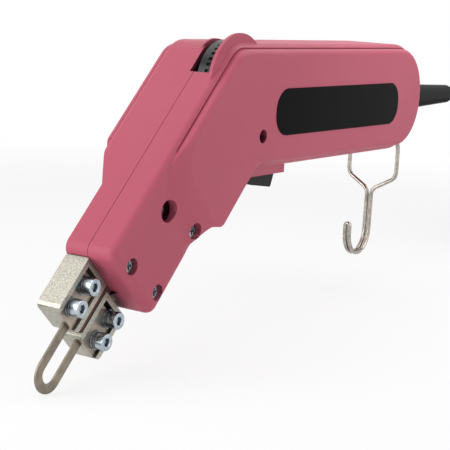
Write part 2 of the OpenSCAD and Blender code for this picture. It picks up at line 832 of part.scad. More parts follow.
module secondary_coil() {
  color("#b87333") ring_box(bob_x0 + flange_t + coil_gap, coil_split - coil_gap,
    bob_y - coil_in, bob_z - coil_in, tube_y + coil_gap, tube_z + coil_gap);
}
// Bus bars: a flat strip down the nose, then along the handle
bar_w = tail_w - 2 * strip_gap;
bar_end_up = 6;
bar_low_s = nose_len - bar_end_up;
upper_bar_z = 2;
lower_bar_z = -5;
function ribbon(p, w) = let (
  n1 = outward(p[0], p[1]),
  n2 = outward(p[1], p[2]),
  m = (n1 + n2) / (1 + n1 * n2),
  h = w / 2
) [p[0] + h * n1, p[1] + h * m, p[2] + h * n2, p[2] - h * n2, p[1] - h * m, p[0] - h * n1];
function bar_turn(t, z) = nose((half_h - t * cos(nose_angle) - z) / sin(nose_angle), t);
module bus_bar(t, z) {
  color("#b87333") slab(bar_y0, bar_y1)
    polygon(ribbon([nose(bar_low_s, t), bar_turn(t, z), [bob_x0 - gap, z]], bar_w));
}
module upper_bus_bar() bus_bar(upper_tail_t, upper_bar_z);
module lower_bus_bar() bus_bar(lower_tail_t, lower_bar_z);

// Contact blocks, clamps and blade
block_s0 = nose_len + gap;
block_s1 = block_s0 + block_len;
leaf_t = strip_t;
rear_block_s0 = block_s0 + leaf_t + 2 * strip_gap;
rib_proud = 0.8;
block_y0 = seam_y - rib_proud;
block_y1 = seam_y + block_t;
rib_share = 0.141;
rib = block_w * rib_share;
top_rib = rib;
plate_thick = 1.8;
plate_out = 1.2;
seat_y = block_y0 + plate_out + plate_thick;
blade_y1 = seat_y + blade_t;
slot_gap = 0.2;
leg_off = strip_t / 2 + strip_gap + rib + slot_gap + blade_w / 2;
blade_s0 = rear_block_s0 + top_rib + gap;
blade_end = block_s1 + blade_reach;
clamp_far = 15.8;
clamp_near = 5.6;
clamp_in_share = 0.394;
clamp_s = [block_s1 - clamp_far, block_s1 - clamp_near];
clamp_front_t = block_front_t + block_w * clamp_in_share;
clamp_rear_t = block_rear_t + block_w * (1 - clamp_in_share);
clamp_deep = 6;
tail_len_in = 16;
tail_step_in = 3.2;
tail_s0 = nose_len - tail_len_in;
tail_s1 = nose_len - tail_step_in;
low_edge = 2;
low_edge_share = 0.3;
module contact_block(t0, s0, tail_t, inner_sign, screw_t) {
  inner = strip_mid_t + inner_sign * leg_off;
  t1 = t0 + block_w;
  ca = low_edge;
  cb = low_edge * low_edge_share;
  difference() {
    union() {
      slab(block_y0, block_y1) polygon([
        nose(s0, t0), nose(block_s1 - ca, t0), nose(block_s1 - cb, t0 + cb), nose(block_s1, t0 + ca),
        nose(block_s1, t1 - ca), nose(block_s1 - cb, t1 - cb), nose(block_s1 - ca, t1), nose(s0, t1)
      ]);
      nose_slab(tail_s1 - cut, s0 + cut, tail_t - tail_w / 2, tail_t + tail_w / 2, seam_y, tail_y1);
      nose_slab(tail_s0, tail_s1, tail_t - tail_w / 2, tail_t + tail_w / 2, bar_y1, tail_y1);
    }
    nose_slab(s0 + top_rib, block_s1 + cut, t0 + rib, t1 - rib, block_y0 - cut, seat_y);
    nose_slab(blade_s0 - gap, block_s1 + cut,
      inner - blade_w / 2 - slot_gap, inner + blade_w / 2 + slot_gap, block_y0 - cut, blade_y1);
    for (s = clamp_s) y_rod(nose(s, screw_t), clamp_d / 2 + run_gap, block_y0 - cut, seat_y + clamp_deep + gap);
  }
}
module upper_contact_block() {
  color("#a39a8c") contact_block(block_front_t, block_s0, upper_tail_t, -1, clamp_front_t);
}
module lower_contact_block() {
  color("#a39a8c") contact_block(block_rear_t, rear_block_s0, lower_tail_t, 1, clamp_rear_t);
}
module insulating_strip() {
  strip_y0 = block_y0 + gap;
  strip_y1 = block_y1 - gap;
  strip_short = 2.2;
  strip_end = block_s1 - strip_short;
  leaf_s0 = block_s0;
  color("#4d2f22") {
    slab(strip_y0, strip_y1) polygon([
      nose(leaf_s0, strip_mid_t - strip_t / 2), nose(strip_end, strip_mid_t - strip_t / 2),
      nose(strip_end, strip_mid_t + strip_t / 2), nose(leaf_s0 + leaf_t, strip_mid_t + strip_t / 2),
      nose(leaf_s0 + leaf_t, lower_tail_t - tail_w / 2 - gap), nose(leaf_s0, lower_tail_t - tail_w / 2 - gap)
    ]);
  }
}
module clamp_plate(t0, s0, screw_t) {
  side_gap = 0.2;
  top_gap = 1.6;
  difference() {
    nose_slab(s0 + top_rib + top_gap, block_s1, t0 + rib + side_gap, t0 + block_w - rib - side_gap,
      block_y0 + plate_out, seat_y);
    for (s = clamp_s) y_rod(nose(s, screw_t), clamp_d / 2 + run_gap, block_y0 - cut, seat_y + cut);
  }
}
module upper_clamp_plate() color("#9c9484") clamp_plate(block_front_t, block_s0, clamp_front_t);
module lower_clamp_plate() color("#9c9484") clamp_plate(block_rear_t, rear_block_s0, clamp_rear_t);
clamp_points = [for (s = clamp_s, t = [clamp_front_t, clamp_rear_t]) nose(s, t)];
flat_t = 0.8;
spring_t = 1.1;
washer_share = 0.95;
cap_share = 0.875;
washer_r = clamp_d * washer_share;
cap_r = clamp_d * cap_share;
cap_h = clamp_d;
cap_y1 = block_y0 + plate_out - flat_t - spring_t;
module clamp_screws() {
  hex_share = 0.433;
  hex_r = clamp_d * hex_share;
  hex_deep_share = 0.55;
  color("#c3c9d0") for (p = clamp_points) difference() {
    union() {
      y_rod(p, cap_r, cap_y1 - cap_h, cap_y1);
      y_rod(p, clamp_d / 2, cap_y1 - cut, seat_y + clamp_deep);
    }
    translate([p.x, cap_y1 - cap_h * (1 - hex_deep_share), p.y]) rotate([90, 0, 0]) linear_extrude(cap_h)
      polygon([for (k = [0 : 5]) hex_r * [cos(60 * k), sin(60 * k)]]);
  }
}
module flat_washers() {
  color("#bfc4c9") for (p = clamp_points) difference() {
    y_rod(p, washer_r, cap_y1 + spring_t, cap_y1 + spring_t + flat_t);
    y_rod(p, clamp_d / 2 + run_gap, cap_y1 - cut, cap_y1 + spring_t + flat_t + cut);
  }
}
module spring_washers() {
  split = 0.8;
  color("#aeb3b8") for (p = clamp_points) difference() {
    y_rod(p, washer_r - gap, cap_y1, cap_y1 + spring_t);
    y_rod(p, clamp_d / 2 + run_gap, cap_y1 - cut, cap_y1 + spring_t + cut);
    translate([p.x, cap_y1 - cut, p.y - split / 2]) cube([washer_r + cut, spring_t + 2 * cut, split]);
  }
}
module blade() {
  ro = leg_off + blade_w / 2;
  ri = leg_off - blade_w / 2;
  bend_s = blade_end - ro;
  steps = 24;
  m = strip_mid_t;
  color("#6e675c") slab(seat_y, blade_y1) polygon(concat(
    [nose(blade_s0, m - ri), nose(blade_s0, m - ro)],
    [for (k = [0 : steps]) let (a = 180 * k / steps) nose(bend_s + ro * sin(a), m - ro * cos(a))],
    [nose(blade_s0, m + ro), nose(blade_s0, m + ri)],
    [for (k = [steps : -1 : 0]) let (a = 180 * k / steps) nose(bend_s + ri * sin(a), m - ri * cos(a))]
  ));
}

// Hanging hook: one wire, down one leg, round the bend and back up the other
leg_x = 6.7;
leg_z = -8.5;
leg_end_z = -25;
shank_x = 4.8;
shank_z = -32;
shank_y = hook_r + gap / 2;
hook_tip = 4.3;
leg_bend = 3;
function hook_half() = let (bend = [for (k = [0 : 12]) let (a = 15 * k)
    [shank_x - hook_bend_r + hook_bend_r * cos(a), -hook_drop - hook_bend_r * sin(a)]])
  concat(
    [[0, hook_pin_y, 0], [0, hook_y + leg_bend / 2, 0], [0.4, hook_y + leg_bend / 6, -0.4], [1.2, hook_y, -1.8],
     [leg_x - 1.4, hook_y, leg_z + 2.2], [leg_x - 0.4, hook_y, leg_z], [leg_x, hook_y, leg_z - 2.4],
     [leg_x, hook_y, leg_end_z + 3], [leg_x, hook_y - 0.6, leg_end_z + 0.6], [leg_x - 0.3, hook_y - 2, leg_end_z - 1],
     [shank_x + 0.3, shank_y + 2, shank_z + 1], [shank_x, shank_y + 0.4, shank_z - 0.8], [shank_x, shank_y, shank_z - 3]],
    [for (p = bend) [p.x, shank_y, p.y]],
    [[shank_x - 2 * hook_bend_r, shank_y, -hook_drop + hook_tip]]);
module hanging_hook() {
  h = hook_half();
  n = len(h);
  sides = 10;
  tip = [for (k = [1 : 5]) let (a = 30 * k)
    [shank_x - 2 * hook_bend_r, shank_y * cos(a), -hook_drop + hook_tip + shank_y * sin(a)]];
  path = concat(h, tip, [for (i = [n - 1 : -1 : 0]) [h[i].x, -h[i].y, h[i].z]]);
  color("#b5b4ae") translate([hook_pivot.x, 0, hook_pivot.y]) tube(path, hook_r, sides, [0.9, 0.05, 0.43]);
}

// Cord entry
module strain_relief() {
  color("#2b2d2e") translate([0, entry.x, entry.y]) rotate([0, 90, 0]) rotate_extrude()
    polygon([
      [cord_r + run_gap, flange_x1 - relief_flange_t], [relief_flange_r, flange_x1 - relief_flange_t],
      [relief_flange_r, flange_x1], [relief_neck_r, flange_x1],
      [relief_neck_r, relief_x0], [relief_collar_r - relief_edge, relief_x0],
      [relief_collar_r, relief_x0 + relief_edge], [relief_collar_r, relief_x1 - relief_edge],
      [relief_collar_r - relief_edge, relief_x1], [relief_root_r, relief_x1],
      [relief_tip_r, relief_end - 2 * relief_edge], [relief_tip_r - relief_edge, relief_end - relief_edge / 2],
      [relief_tip_r - 2 * relief_edge, relief_end], [cord_r + run_gap, relief_end]
    ]);
}
inner_len = 10;
inner_x0 = clamp_x - inner_len;
module inner_cord() {
  color("#2a2b2c") x_rod(entry, cord_r, inner_x0, relief_end);
}
clamp_screw_d = 3;
clamp_screw_len = 10;
module cord_clamp() {
  color("#3a3b3c") difference() {
    span_box([clamp_x - post_r, clamp_post_end - clamp_bar_t, entry.y - clamp_half - post_r],
      [clamp_x + post_r, clamp_post_end, entry.y + clamp_half + post_r]);
    for (i = [-1, 1])
      y_rod([clamp_x, entry.y + i * clamp_half], clamp_screw_d / 2 + run_gap,
        clamp_post_end - clamp_bar_t - cut, clamp_post_end + cut);
  }
}
module cord_clamp_screws() {
  color("#b9bec4") for (i = [-1, 1])
    translate([clamp_x, clamp_post_end - clamp_bar_t, entry.y + i * clamp_half])
      cross_screw(clamp_screw_d, screw_head_d, screw_head_h, clamp_bar_t + clamp_screw_len - gap);
}
module terminal_block() {
  long = 16;
  wide = 20;
  high = 14;
  size = [long, wide, high];
  from_core = 5;
  hole_r = 1.8;
  hole_pitch = 9;
  x0 = core_x0 + core_len + from_core;
  color("#d8d5cc") difference() {
    translate([x0, -size.y / 2, -cav_z + gap]) cube(size);
    for (i = [-1, 1]) {
      x_rod([i * hole_pitch / 2, -cav_z + gap + size.z / 2], hole_r, x0 - cut, x0 + size.x + cut);
      translate([x0 + size.x / 2, i * hole_pitch / 2, -cav_z + gap + size.z / 2]) cylinder(r = hole_r, h = size.z);
    }
  }
}

// Cord: the lead down to the floor, the hank, and the tail to the plug
cord_sides = 8;
hank_sides = 6;
floor_z = -105.2;
hank_mid = [322, -11.5];
hank_r = 27;
hank_half = 43;
hank_lift = 1.5;
hank_z = floor_z + cord_r + hank_lift;
hank_pitch = 8.2;
hank_last_rise = 2;
hank_loops = 5;
hank_steps = 24;
lead_points = [
  [relief_end, entry.x, entry.y], [relief_end + cord_d, entry.x, entry.y], [180, -4, -3], [188, -4, -5],
  [196, -3.5, -8.5], [204, -3, -14], [211, -2, -21], [216.5, -1, -29], [220.5, 0.5, -38], [223.5, 2.5, -48],
  [226, 4.5, -57], [229.5, 7, -67], [235, 9.3, -77.3], [242, 11.5, -86.3], [251, 13.3, -93.2], [260, 14.8, -97.6],
  [269, hank_mid.y + hank_r, hank_z], [hank_mid.x - hank_half, hank_mid.y + hank_r, hank_z]
];
// Point of the hank after u loops: run, fold, climbing run, fold
function hank_rise(u) = let (v = u - floor(u)) floor(u) + (v < 0.5 ? 0 : v < 0.75 ? (v - 0.5) * 4 : 1);
function hank_point(u) = let (
  v = (u - floor(u)) * 4,
  w = v - floor(v),
  q = floor(v),
  late = max(u - hank_loops + 0.5, 0) * 2,
  z = hank_z + hank_pitch * hank_rise(u) + hank_last_rise * late
) concat(
  q == 0 ? [hank_mid.x - hank_half + 2 * hank_half * w, hank_mid.y + hank_r] :
  q == 1 ? [hank_mid.x + hank_half + hank_r * sin(180 * w), hank_mid.y + hank_r * cos(180 * w)] :
  q == 2 ? [hank_mid.x + hank_half - 2 * hank_half * w, hank_mid.y - hank_r] :
  [hank_mid.x - hank_half - hank_r * sin(180 * w), hank_mid.y - hank_r * cos(180 * w)],
  [z]);
hank_loop_points = [for (k = [0 : hank_loops * hank_steps]) hank_point(k / hank_steps)];
hank_end = hank_loop_points[len(hank_loop_points) - 1] + [cord_d, 0, 0];
hank_points = concat(hank_loop_points, [hank_end]);
// Least gap of the hank to itself, between points a quarter of a loop or more apart
hank_last = len(hank_points) - 1;
hank_skip = hank_steps / 4;
hank_gap = min([for (i = [0 : hank_last - hank_skip]) for (j = [i + hank_skip : hank_last])
  norm(hank_points[i] - hank_points[j])]) - cord_d;
echo(hank_gap = hank_gap);
// Plug: it lies on the hank, pins to the rear
plug_t = 14;
plug_w = 35;
plug_len = 36;
plug_shift = 13.5;
tail_len = 46;
tail_gap = 0.02;
plug_x0 = hank_end.x + tail_len;
plug_y = hank_end.y - plug_shift;
plug_z = hank_z + (hank_loops - 1) * hank_pitch + cord_r + gap + plug_t / 2;
tail_rise = plug_z - hank_end.z;
tail_steps = 8;
tail_ends = cord_d;
function ease(x) = x * x * (3 - 2 * x);
tail_points = concat([hank_end + [tail_gap, 0, 0]],
  [for (k = [0 : tail_steps]) let (f = k / tail_steps)
    hank_end + [tail_ends + (tail_len - 2 * tail_ends) * f, -plug_shift * ease(f), tail_rise * ease(f)]],
  [[plug_x0, plug_y, plug_z]]);
module cord_lead() color("#2a2b2c") tube(lead_points, cord_r, cord_sides, [0, 1, 0]);
module cord_hank() color("#2a2b2c") tube(hank_points, cord_r, hank_sides, [0, 0, 1]);
module cord_tail() color("#2a2b2c") tube(tail_points, cord_r, cord_sides, [0, 0, 1]);
module cord_tie() {
  band_w = 12;
  band_t = 1.2;
  low = hank_z - cord_r - gap;
  high = hank_z + hank_loops * hank_pitch + hank_last_rise + cord_r + gap;
  side = cord_r + gap;
  color("#1d1d1e") translate([hank_mid.x - band_w / 2, hank_mid.y - hank_r, 0]) difference() {
    span_box([0, -side - band_t, low - band_t], [band_w, side + band_t, high + band_t]);
    span_box([-cut, -side, low], [band_w + cut, side, high]);
  }
}
pin_pitch = 19;
plug_pin_r = 2;
plug_pin_len = 19;
pin_root_r = 1.6;
pin_root_len = 6;
module plug_body() {
  neck = 12;
  neck_len = 12;
  flare = 26;
  color("#262728") translate([plug_x0, plug_y, plug_z - plug_t / 2]) difference() {
    linear_extrude(plug_t) polygon([
      [0, -neck / 2], [neck_len, -flare / 2], [plug_len - neck_len, -plug_w / 2], [plug_len, -plug_w / 2],
      [plug_len, plug_w / 2], [plug_len - neck_len, plug_w / 2], [neck_len, flare / 2], [0, neck / 2]
    ]);
    for (i = [-1, 1]) translate([plug_len - pin_root_len - gap, i * pin_pitch / 2, plug_t / 2]) rotate([0, 90, 0])
      cylinder(r = pin_root_r + run_gap, h = pin_root_len + gap + cut);
  }
}
module plug_pins() {
  color("#c9ccd0") for (i = [-1, 1])
    translate([plug_x0 + plug_len, plug_y + i * pin_pitch / 2, plug_z]) rotate([0, 90, 0]) {
      cylinder(r = plug_pin_r, h = plug_pin_len);
      translate([0, 0, -pin_root_len]) cylinder(r = pin_root_r, h = pin_root_len + cut);
    }
}

left_housing();
right_housing();
housing_screws();
name_plate();
trigger();
trigger_pin();
trigger_spring();
micro_switch();
switch_plunger();
thumbwheel();
control_shaft();
potentiometer();
control_board();
triac();
capacitor();
transformer_core();
coil_bobbin();
primary_coil();
secondary_coil();
upper_bus_bar();
lower_bus_bar();
upper_contact_block();
lower_contact_block();
insulating_strip();
upper_clamp_plate();
lower_clamp_plate();
clamp_screws();
flat_washers();
spring_washers();
blade();
hanging_hook();
strain_relief();
inner_cord();
cord_clamp();
cord_clamp_screws();
terminal_block();
cord_lead();
cord_hank();
cord_tail();
cord_tie();
plug_body();
plug_pins();
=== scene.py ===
import bpy
import bmesh
import json
from math import cos, floor, hypot, pi, radians, sin
from mathutils import Matrix, Vector

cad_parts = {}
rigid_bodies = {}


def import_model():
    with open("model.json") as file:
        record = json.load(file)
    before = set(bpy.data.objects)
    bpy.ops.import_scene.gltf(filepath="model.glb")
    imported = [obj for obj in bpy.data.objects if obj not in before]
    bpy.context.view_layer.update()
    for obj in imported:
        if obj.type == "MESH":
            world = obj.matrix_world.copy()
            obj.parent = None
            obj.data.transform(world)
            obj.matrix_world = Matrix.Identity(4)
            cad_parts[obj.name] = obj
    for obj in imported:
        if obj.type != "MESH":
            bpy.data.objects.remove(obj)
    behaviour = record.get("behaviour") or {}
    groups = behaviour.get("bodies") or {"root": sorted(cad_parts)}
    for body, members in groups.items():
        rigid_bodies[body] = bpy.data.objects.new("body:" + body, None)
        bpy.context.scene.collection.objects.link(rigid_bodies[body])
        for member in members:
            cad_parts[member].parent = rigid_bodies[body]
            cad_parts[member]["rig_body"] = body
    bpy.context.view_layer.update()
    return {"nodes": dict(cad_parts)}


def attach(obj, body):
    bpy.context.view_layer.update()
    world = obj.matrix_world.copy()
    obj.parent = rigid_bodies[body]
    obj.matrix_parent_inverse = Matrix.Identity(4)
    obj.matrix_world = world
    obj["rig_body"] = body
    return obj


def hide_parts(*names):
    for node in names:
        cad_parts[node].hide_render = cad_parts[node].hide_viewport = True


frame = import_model()
nodes = frame["nodes"]
mm = 0.001
print("frame loaded:", len(nodes), "nodes")

# the camera stands where the photograph was taken, in front and to the left; lengths in metres
camSettings = {
    "place": (-0.5462, -0.3053, 0.0456),
    "right": (0.5415, -0.8386, 0.0591),
    "up": (0.1134, 0.1426, 0.9833),
    "focalPixels": 1300,
    "imagePixels": 450,
    "sensor": 36,  # millimetres
    "near": 0.01,
    "far": 60,
}


def makeCamera(c):
    data = bpy.data.cameras.new("camera")
    data.sensor_width = c["sensor"]
    data.lens = c["sensor"] * c["focalPixels"] / c["imagePixels"]
    data.clip_start = c["near"]
    data.clip_end = c["far"]
    cam = bpy.data.objects.new("camera", data)
    bpy.context.scene.collection.objects.link(cam)
    right = Vector(c["right"]).normalized()
    up = Vector(c["up"])
    up = (up - right * up.dot(right)).normalized()
    back = right.cross(up)
    turn = Matrix((right, up, back)).transposed().to_4x4()
    cam.matrix_world = Matrix.Translation(Vector(c["place"])) @ turn
    bpy.context.scene.camera = cam


makeCamera(camSettings)
print("camera placed")


# an sRGB hex value as a linear colour
def hexLinear(code):
    parts = [int(code[i:i + 2], 16) / 255 for i in (1, 3, 5)]
    lin = [p / 12.92 if p <= 0.04045 else ((p + 0.055) / 1.055) ** 2.4 for p in parts]
    return (*lin, 1)


def startMaterial(name):
    mat = bpy.data.materials.new(name)
    mat.use_nodes = True
    tree = mat.node_tree
    return mat, tree, tree.nodes["Principled BSDF"]


# adds one node: an input is named, or numbered as i0, i1 and so on, and a value that is a socket is linked
def addNode(tree, kind, settings=None, **inputs):
    node = tree.nodes.new(kind)
    for key, value in (settings or {}).items():
        setattr(node, key, value)
    for key, value in inputs.items():
        numbered = key[0] == "i" and key[1:].isdigit()
        socket = node.inputs[int(key[1:]) if numbered else key]
        if isinstance(value, bpy.types.NodeSocket):
            tree.links.new(value, socket)
        else:
            socket.default_value = value
    return node


# pattern scale for cells of a size in millimetres on object coordinates in metres
def perMetre(sizeMm):
    return 1 / (sizeMm * mm)


# moulded plastic: cloudMm is the drift of its colour, grooveMm and recessMm tell a seam from a screw recess
# for the painted shade
plasticSettings = {
    "ior": 1.53,
    "cloudMm": 45,
    "cloudRange": (0.3, 0.7),
    "roughSpread": 0.06,
    "reliefMm": 0.2,
    "grooveMm": 1.2,
    "recessMm": 10,
    "recessRange": (0.35, 0.75),
    # the colour of the painted shade in wide recesses
    "recessShadeColour": "#1c0a0f",
}


# one colour with a fine even grain that softens the highlight, and with shade, painted shade that darkens its
# wide recesses
# mould grain is about a tenth of a millimetre: it is drawn coarser so that it shows
def mouldedPlastic(name, light, dark, grainMm, rough, bump, shine=0.4, shade=0.0):
    c = plasticSettings
    mat, tree, bsdf = startMaterial(name)
    coord = addNode(tree, "ShaderNodeTexCoord").outputs["Object"]
    cloud = addNode(tree, "ShaderNodeTexNoise", Vector=coord, Scale=perMetre(c["cloudMm"]), Detail=3.0)
    low, high = c["cloudRange"]
    blend = addNode(tree, "ShaderNodeMapRange", Value=cloud.outputs["Fac"], i1=low, i2=high)
    colour = addNode(tree, "ShaderNodeMix", {"data_type": "RGBA"}, i0=blend.outputs["Result"],
                     i6=hexLinear(dark), i7=hexLinear(light))
    # painted shade: darker where ambient occlusion finds a wide recess, but not in narrow seams
    if shade:
        groove = addNode(tree, "ShaderNodeAmbientOcclusion", {"samples": 8}, Distance=c["grooveMm"] * mm)
        hollow = addNode(tree, "ShaderNodeAmbientOcclusion", {"samples": 8}, Distance=c["recessMm"] * mm)
        wide = addNode(tree, "ShaderNodeMath", {"operation": "SUBTRACT"}, i0=groove.outputs["AO"],
                       i1=hollow.outputs["AO"])
        low, high = c["recessRange"]
        depth = addNode(tree, "ShaderNodeMapRange", Value=wide.outputs["Value"], i1=low, i2=high, i4=shade)
        colour = addNode(tree, "ShaderNodeMix", {"data_type": "RGBA"}, i0=depth.outputs["Result"],
                         i6=colour.outputs[2], i7=hexLinear(c["recessShadeColour"]))
    tree.links.new(colour.outputs[2], bsdf.inputs["Base Color"])
    grain = addNode(tree, "ShaderNodeTexNoise", Vector=coord, Scale=perMetre(grainMm), Detail=2.0)
    roughFac = addNode(tree, "ShaderNodeMapRange", Value=grain.outputs["Fac"],
                       i3=rough - c["roughSpread"], i4=rough + c["roughSpread"])
    tree.links.new(roughFac.outputs["Result"], bsdf.inputs["Roughness"])
    relief = addNode(tree, "ShaderNodeBump", Height=grain.outputs["Fac"], Strength=bump,
                     Distance=c["reliefMm"] * mm)
    tree.links.new(relief.outputs["Normal"], bsdf.inputs["Normal"])
    bsdf.inputs["IOR"].default_value = c["ior"]
    bsdf.inputs["Specular IOR Level"].default_value = shine
    return mat


# plated, rolled or turned metal: painted shade darkens within hollowMm of another face
metalSettings = {
    "patchRange": (0.32, 0.68),
    "reliefMm": 0.2,
    "hollowMm": 4,
    "hollowRange": (0.3, 0.95),
    # the colour of the painted shade in hollows and corners
    "cornerShadeColour": "#2a2622",
}


# flecks and patches in the polish, and painted shade that darkens hollows and corners
# grit, cutter and die leave finer marks than these: they are drawn coarser so that they show
def metal(name, light, dark, patchMm, rough, spread, grainMm, bump, stretch=(1, 1, 1), cornerShade=0.35):
    c = metalSettings
    mat, tree, bsdf = startMaterial(name)
    coord = addNode(tree, "ShaderNodeTexCoord").outputs["Object"]
    turned = addNode(tree, "ShaderNodeMapping", Vector=coord, Scale=stretch).outputs["Vector"]
    patch = addNode(tree, "ShaderNodeTexNoise", Vector=turned, Scale=perMetre(patchMm), Detail=4.0)
    low, high = c["patchRange"]
    blend = addNode(tree, "ShaderNodeMapRange", Value=patch.outputs["Fac"], i1=low, i2=high)
    unshaded = addNode(tree, "ShaderNodeMix", {"data_type": "RGBA"}, i0=blend.outputs["Result"],
                    i6=hexLinear(dark), i7=hexLinear(light))
    # painted shade: the colour darkens where ambient occlusion finds nearby faces
    hollow = addNode(tree, "ShaderNodeAmbientOcclusion", {"samples": 8}, Distance=c["hollowMm"] * mm)
    low, high = c["hollowRange"]
    cornerShadeFac = addNode(tree, "ShaderNodeMapRange", Value=hollow.outputs["AO"], i1=low, i2=high,
                   i3=1 - cornerShade, i4=1.0)
    colour = addNode(tree, "ShaderNodeMix", {"data_type": "RGBA"}, i0=cornerShadeFac.outputs["Result"],
                     i6=hexLinear(c["cornerShadeColour"]), i7=unshaded.outputs[2])
    tree.links.new(colour.outputs[2], bsdf.inputs["Base Color"])
    grain = addNode(tree, "ShaderNodeTexNoise", Vector=turned, Scale=perMetre(grainMm), Detail=2.0)
    roughFac = addNode(tree, "ShaderNodeMapRange", Value=patch.outputs["Fac"],
                       i3=rough - spread, i4=rough + spread)
    tree.links.new(roughFac.outputs["Result"], bsdf.inputs["Roughness"])
    relief = addNode(tree, "ShaderNodeBump", Height=grain.outputs["Fac"], Strength=bump,
                     Distance=c["reliefMm"] * mm)
    tree.links.new(relief.outputs["Normal"], bsdf.inputs["Normal"])
    bsdf.inputs["Metallic"].default_value = 1
    return mat


# a dull even rose that mirrors nothing, with painted shade in its screw recesses
housingAbs = mouldedPlastic("rose ABS, spark eroded", light="#b9576b", dark="#b45367",
                            grainMm=0.5, rough=0.48, bump=0.12, shine=0.25, shade=0.9)
# a dull black
blackAbs = mouldedPlastic("black ABS, moulded", light="#1d1c1c", dark="#161616",
                          grainMm=0.6, rough=0.42, bump=0.15, shine=0.12)
# a black whose rim takes a grey shine
polishedAbs = mouldedPlastic("black ABS, polished", light="#1d1c1c", dark="#161616",
                             grainMm=0.6, rough=0.28, bump=0.08, shine=0.3)
# a soft black with next to no shine
pvc = mouldedPlastic("black PVC, moulded", light="#121315", dark="#0f1011",
                     grainMm=0.8, rough=0.5, bump=0.1, shine=0.06)
# a flat deep black without grain
plateFilm = mouldedPlastic("black polyester film, dyed", light="#0b0a0a", dark="#070606",
                           grainMm=3.0, rough=0.2, bump=0.01, shine=0.02)
# brown and mottled, like hard card
fibre = mouldedPlastic("brown fibre, pressed", light="#5a382a", dark="#3f261b",
                       grainMm=0.9, rough=0.6, bump=0.3)
# a waxy cream
bobbinNylon = mouldedPlastic("natural nylon, moulded", light="#e2dcc8", dark="#d8d1bb",
                             grainMm=0.8, rough=0.45, bump=0.1)
# a clear mid green with a lacquer shine
boardResin = mouldedPlastic("green solder mask on glass resin", light="#2f7a43", dark="#27693a",
                            grainMm=1.2, rough=0.3, bump=0.1)
# a plain signal red
redAcetal = mouldedPlastic("red acetal, moulded", light="#c2362c", dark="#b02f26",
                           grainMm=0.8, rough=0.35, bump=0.1)
# a glossy mustard yellow
yellowResin = mouldedPlastic("yellow resin, dipped", light="#d8a83a", dark="#c89a30",
                             grainMm=1.5, rough=0.3, bump=0.1)
# a plain off-white
ivoryNylon = mouldedPlastic("ivory nylon, moulded", light="#dad7cd", dark="#cfccc1",
                            grainMm=0.8, rough=0.4, bump=0.1)

# a cold bluish shine in soft patches, and sockets darkened by painted shade
zinc = metal("zinc-plated steel, turned", light="#bcc7ce", dark="#98a4ac", patchMm=1.6, rough=0.26,
             spread=0.08, grainMm=0.4, bump=0.06, stretch=(1, 0.3, 1), cornerShade=0.4)
# a warm sparkle of light and dark grit, with painted shade in its hollows and corners
nickel = metal("nickel-plated brass, blasted", light="#cac7bc", dark="#8b877c", patchMm=0.55, rough=0.42,
               spread=0.06, grainMm=0.5, bump=0.6, stretch=(1, 1, 1.6), cornerShade=0.7)
# a warm grey with faint strokes of the cutter, with painted shade in its corners
milled = metal("nickel-plated steel, milled", light="#b9ad9f", dark="#a2968a", patchMm=0.9, rough=0.36,
               spread=0.06, grainMm=0.5, bump=0.2, stretch=(0.3, 1, 1), cornerShade=0.8)
# a bright smooth line with soft patches
wire = metal("nickel-plated wire, drawn", light="#b9b2a8", dark="#958e85", patchMm=3.0, rough=0.24,
             spread=0.06, grainMm=0.5, bump=0.05)
# a dark grey sheen
springSteel = metal("spring steel, oiled", light="#8f9296", dark="#74777b", patchMm=2.0, rough=0.34,
                    spread=0.06, grainMm=0.4, bump=0.05)
# a dull brownish grey, uneven from the heat
scaledSteel = metal("strip steel, heat scaled", light="#938a7b", dark="#7d7468", patchMm=4.0, rough=0.46,
                    spread=0.08, grainMm=0.5, bump=0.2)
# a red-brown with darker patches
copper = metal("copper, bare", light="#c98a5e", dark="#a96a40", patchMm=6.0, rough=0.3,
               spread=0.08, grainMm=0.5, bump=0.06)
# a deep red-brown in fine turns side by side
enamelled = metal("copper wire, enamelled", light="#a35327", dark="#7d3a17", patchMm=0.8, rough=0.3,
                  spread=0.08, grainMm=0.5, bump=0.4, stretch=(8, 1, 1))
# a stack of thin grey sheets, seen at its edges
coreSteel = metal("silicon steel, laminated", light="#6c6e72", dark="#4a4c50", patchMm=0.5, rough=0.4,
                  spread=0.08, grainMm=0.5, bump=0.5, stretch=(0.05, 1, 0.05))
# a light even grey
aluminium = metal("aluminium, pressed", light="#a9adb2", dark="#8f9398", patchMm=3.0, rough=0.34,
                  spread=0.06, grainMm=0.5, bump=0.05)
print("materials made:", len(bpy.data.materials))

# the notch in the housing's rear line behind the neck screw, and the screw's recess beside it, in millimetres
# a place on the slope is (s, t): s runs down the slope from its top, t to the rear from its front face
notchSettings = {
    "top": (-88, 27),  # x and z of the slope's upper end
    "shoulder": (60.0, 49.5),  # the rear line falls from here
    "neck": (76.0, 40.5),  # to here
    "from": 58.0,
    "deepest": 65.0,
    "to": 77.0,
    "padMore": 8.0,  # how much lower it ends on the side pad
    "padY": -15.8,  # where the side pad begins
    "depth": 5.2,
    "reach": 12.0,  # how far in front of the rear line the form gives way
    "step": 2.0,  # between the cuts across the rear wall
    "behind": 24.0,  # the cuts stay behind this
    "flat": 0.95,  # and off the flat sides
    "screw": (70.3, 37.8),
    "screwReach": 4.2,
    "screwShift": (1.6, -3.2),
    "seat": (-16.0, -12.9),  # the screw's head and the recess's floor lie between these
    "seatLift": 1.9,
    "weld": 0.002,
}
half = 0.5 ** 0.5  # sine and cosine of the slope


def smoothStep(x):
    x = min(max(x, 0), 1)
    return x * x * (3 - 2 * x)


def slopePoint(p, c):
    x, z = p.x / mm - c["top"][0], p.z / mm - c["top"][1]
    return half * (-x - z), half * (x - z)


def moveOnSlope(v, s, t):
    v.co.x += half * (t - s) * mm
    v.co.z -= half * (t + s) * mm


